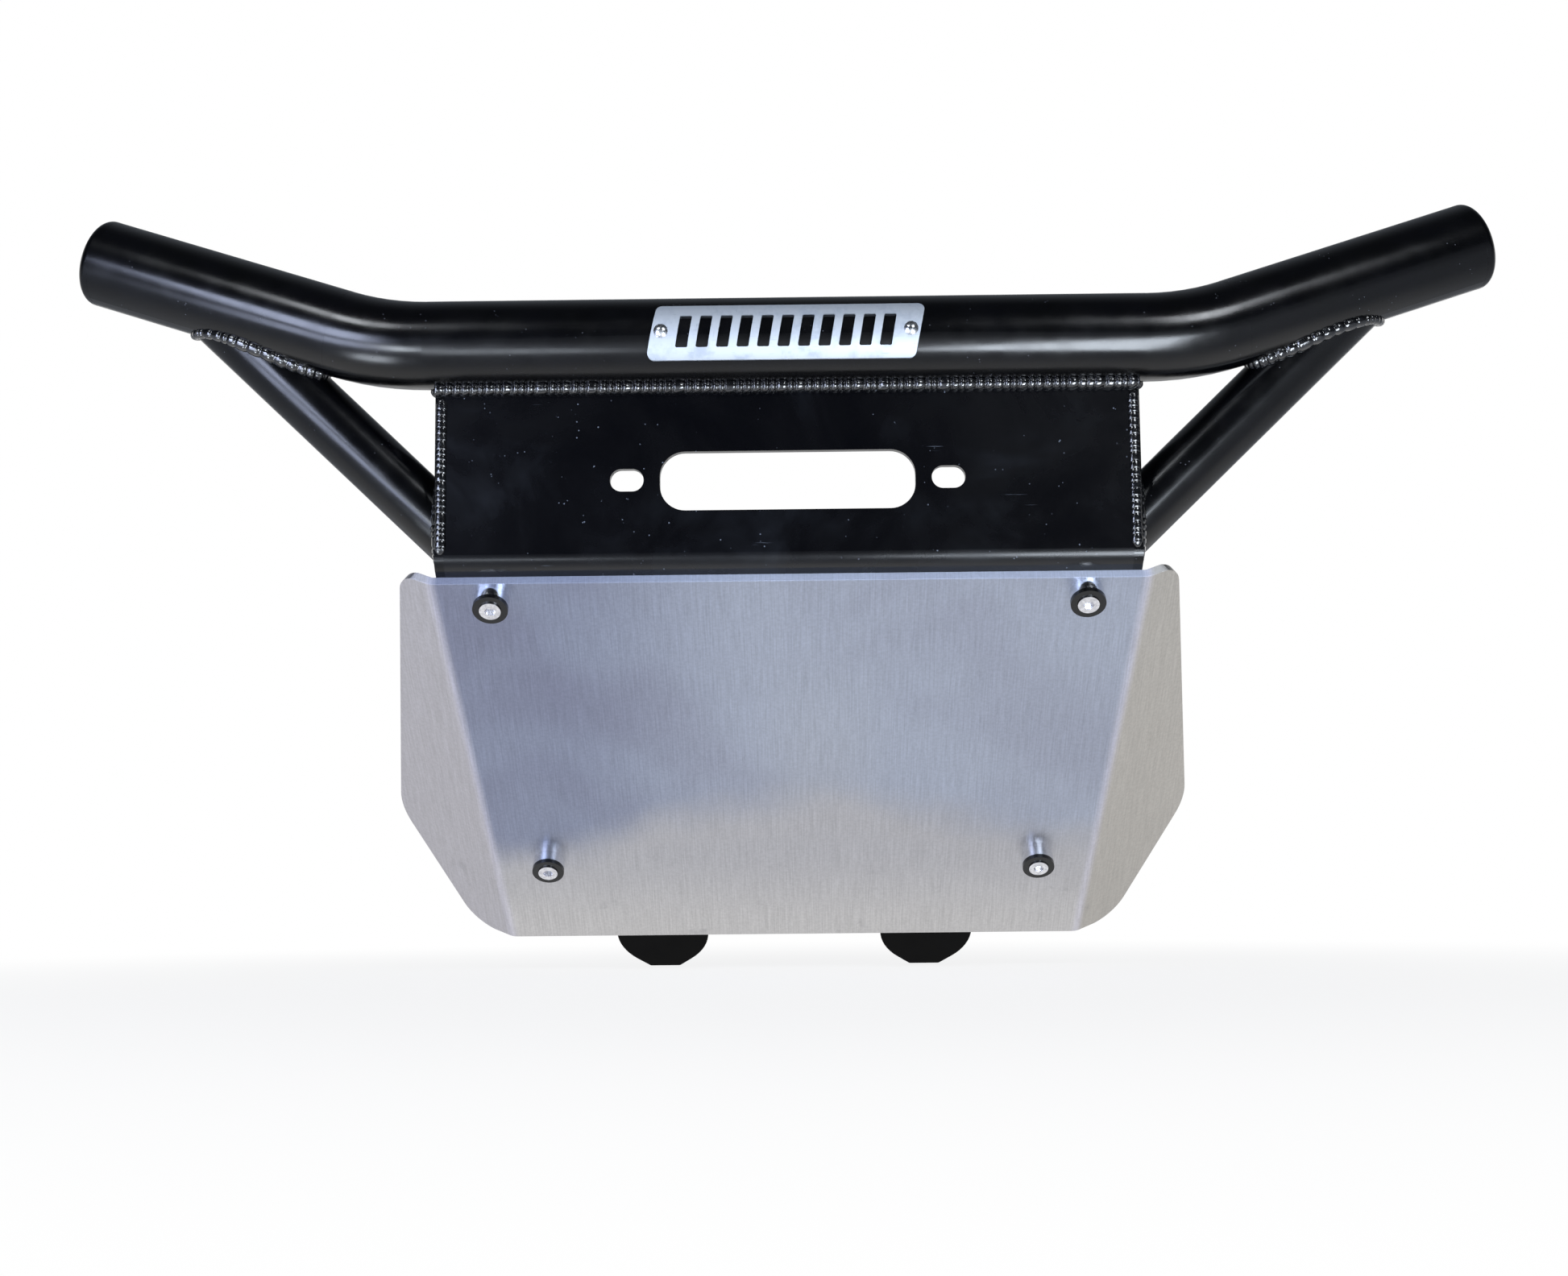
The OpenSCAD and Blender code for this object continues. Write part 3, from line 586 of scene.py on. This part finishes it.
def floor():
    # Pale paper. The camera sees it white, but for the shadow near the object; mirrored rays see
    # it white only under and behind the object, and as a plain lit surface elsewhere
    size, z = 9.0, cad_box[0][2] - 0.0005
    mesh = bpy.data.meshes.new("floor")
    mesh.from_pydata([(-size, -size, z), (size, -size, z), (size, size, z), (-size, size, z)], [],
                     [(0, 1, 2, 3)])
    made = bpy.data.objects.new("floor", mesh)
    bpy.context.scene.collection.objects.link(made)
    t = Tree("floor_paper")
    t.link(t.mix(t.noise(3, 2), (0.86, 0.86, 0.87), (0.90, 0.90, 0.90)),
           t.bsdf.inputs["Base Color"])
    t.bsdf.inputs["Roughness"].default_value = 0.9
    x, y = t.axes()[:2]
    sweep = t.math("MULTIPLY", t.span(t.math("ABSOLUTE", x), 0.40, 0.80, 1.0, 0.12),
                   t.span(y, -0.22, 0.02, 0.10, 1.0))
    path = t.node("ShaderNodeLightPath").outputs
    straight = t.math("MAXIMUM", path["Is Camera Ray"], path["Is Transmission Ray"])
    seen = t.math("MAXIMUM", straight, t.math("MULTIPLY", path["Is Glossy Ray"], sweep))
    reach = t.node("ShaderNodeVectorMath", operation="LENGTH")
    t.link(t.coord, reach.inputs[0])
    far = t.span(reach.outputs["Value"], 0.30, 0.85, 0.84, 1.0)
    glow = t.node("ShaderNodeEmission")
    glow.inputs["Strength"].default_value = 1.0
    both = t.node("ShaderNodeMixShader")
    t.link(t.math("MULTIPLY", seen, far), both.inputs[0])
    t.link(t.bsdf.outputs["BSDF"], both.inputs[1])
    t.link(glow.outputs[0], both.inputs[2])
    t.link(both.outputs[0], t.out.inputs["Surface"])
    mesh.materials.append(t.mat)


def world():
    # White for the camera and through glass; mirrored rays see white low behind the object and a
    # dim room elsewhere
    made = bpy.data.worlds.new("studio")
    bpy.context.scene.world = made
    made.use_nodes = True
    nt = made.node_tree
    nt.nodes.clear()

    def node(kind, **settings):
        new = nt.nodes.new(kind)
        for key, value in settings.items():
            setattr(new, key, value)
        return new

    def math_node(op, a, b):
        new = node("ShaderNodeMath", operation=op)
        for socket, value in zip(new.inputs, (a, b)):
            if isinstance(value, bpy.types.NodeSocket):
                nt.links.new(value, socket)
            else:
                socket.default_value = value
        return new.outputs[0]

    def ramp(value, lo, hi, to_lo, to_hi):
        new = node("ShaderNodeMapRange", interpolation_type="SMOOTHSTEP")
        nt.links.new(value, new.inputs["Value"])
        for key, number in (("From Min", lo), ("From Max", hi), ("To Min", to_lo),
                            ("To Max", to_hi)):
            new.inputs[key].default_value = number
        return new.outputs["Result"]

    def background(colour, strength):
        new = node("ShaderNodeBackground")
        new.inputs["Color"].default_value = (*colour, 1)
        if isinstance(strength, bpy.types.NodeSocket):
            nt.links.new(strength, new.inputs["Strength"])
        else:
            new.inputs["Strength"].default_value = strength
        return new.outputs[0]

    def mixed(fac, a, b):
        new = node("ShaderNodeMixShader")
        for socket, value in zip(new.inputs, (fac, a, b)):
            nt.links.new(value, socket)
        return new.outputs[0]

    split = node("ShaderNodeSeparateXYZ")
    nt.links.new(node("ShaderNodeTexCoord").outputs["Generated"], split.inputs[0])
    behind = ramp(split.outputs[1], -0.1, 0.6, 0.0, 1.0)
    low = ramp(split.outputs[2], 0.35, 0.55, 1.0, 0.0)
    path = node("ShaderNodeLightPath").outputs
    backdrop = math_node("MULTIPLY", behind, low)
    straight = math_node("MAXIMUM", path["Is Camera Ray"], path["Is Transmission Ray"])
    seen = math_node("MAXIMUM", straight, math_node("MULTIPLY", path["Is Glossy Ray"], backdrop))
    room_light = math_node("ADD", math_node("MULTIPLY", behind, 0.16), 0.05)
    room = background((0.80, 0.88, 1.0), room_light)
    soft = background((0.80, 0.87, 1.0), 0.30)
    lit = mixed(path["Is Glossy Ray"], soft, room)
    out = node("ShaderNodeOutputWorld")
    nt.links.new(mixed(seen, lit, background((1, 1, 1), 1.0)), out.inputs["Surface"])


def area_lamp(name, width, height, radiance, colour):
    data = bpy.data.lights.new(name, "AREA")
    data.shape = "RECTANGLE"
    data.size = width
    data.size_y = height
    data.energy = radiance * width * height * math.pi
    data.color = colour
    made = bpy.data.objects.new(name, data)
    bpy.context.scene.collection.objects.link(made)
    made.visible_camera = False
    return made


def lamp(name, place, aim, width, height, radiance, colour):
    made = area_lamp(name, width, height, radiance, colour)
    made.location = place
    made.rotation_euler = (Vector(aim) - Vector(place)).to_track_quat("-Z", "Y").to_euler()


def strip(name, start, end, width, radiance, colour):
    # A lamp that lies on the floor out of the picture and shines up, from one point to another
    a, b = Vector((*start, STRIP_Z)), Vector((*end, STRIP_Z))
    along, down = (b - a).normalized(), Vector((0, 0, -1))
    made = area_lamp(name, width, (b - a).length, radiance, colour)
    turn = Matrix((along.cross(down), along, down)).transposed()
    made.matrix_world = Matrix.Translation((a + b) / 2) @ turn.to_4x4()


camera()
floor()
world()
lamp("box_left", (-0.68, -1.25, 0.98), (-0.2, 0, 0.1), 0.20, 0.34, 17, PALE)
lamp("box_right", (0.62, -1.25, 0.78), (0.2, 0, 0.1), 0.20, 0.42, 18, PALE)
lamp("panel_left", (-0.84, -1.05, 0.02), (-0.28, 0.02, 0.09), 0.42, 0.34, 15, BLUE)
strip("strip_right", (0.17, -0.33), (0.50, -1.05), 0.21, 19, COOL)
strip("strip_left", (-0.38, -0.58), (-0.54, -1.02), 0.13, 17, COOL)
strip("strip_near", (-0.38, -0.16), (-0.40, -0.29), 0.10, 13, COOL)
strip("strip_middle", (-0.18, -0.42), (-0.26, -0.66), 0.14, 5, COOL)
strip("strip_side", (-0.64, -0.50), (-0.86, -0.95), 0.36, 9, BLUE)

bpy.context.scene.view_settings.view_transform = "Standard"
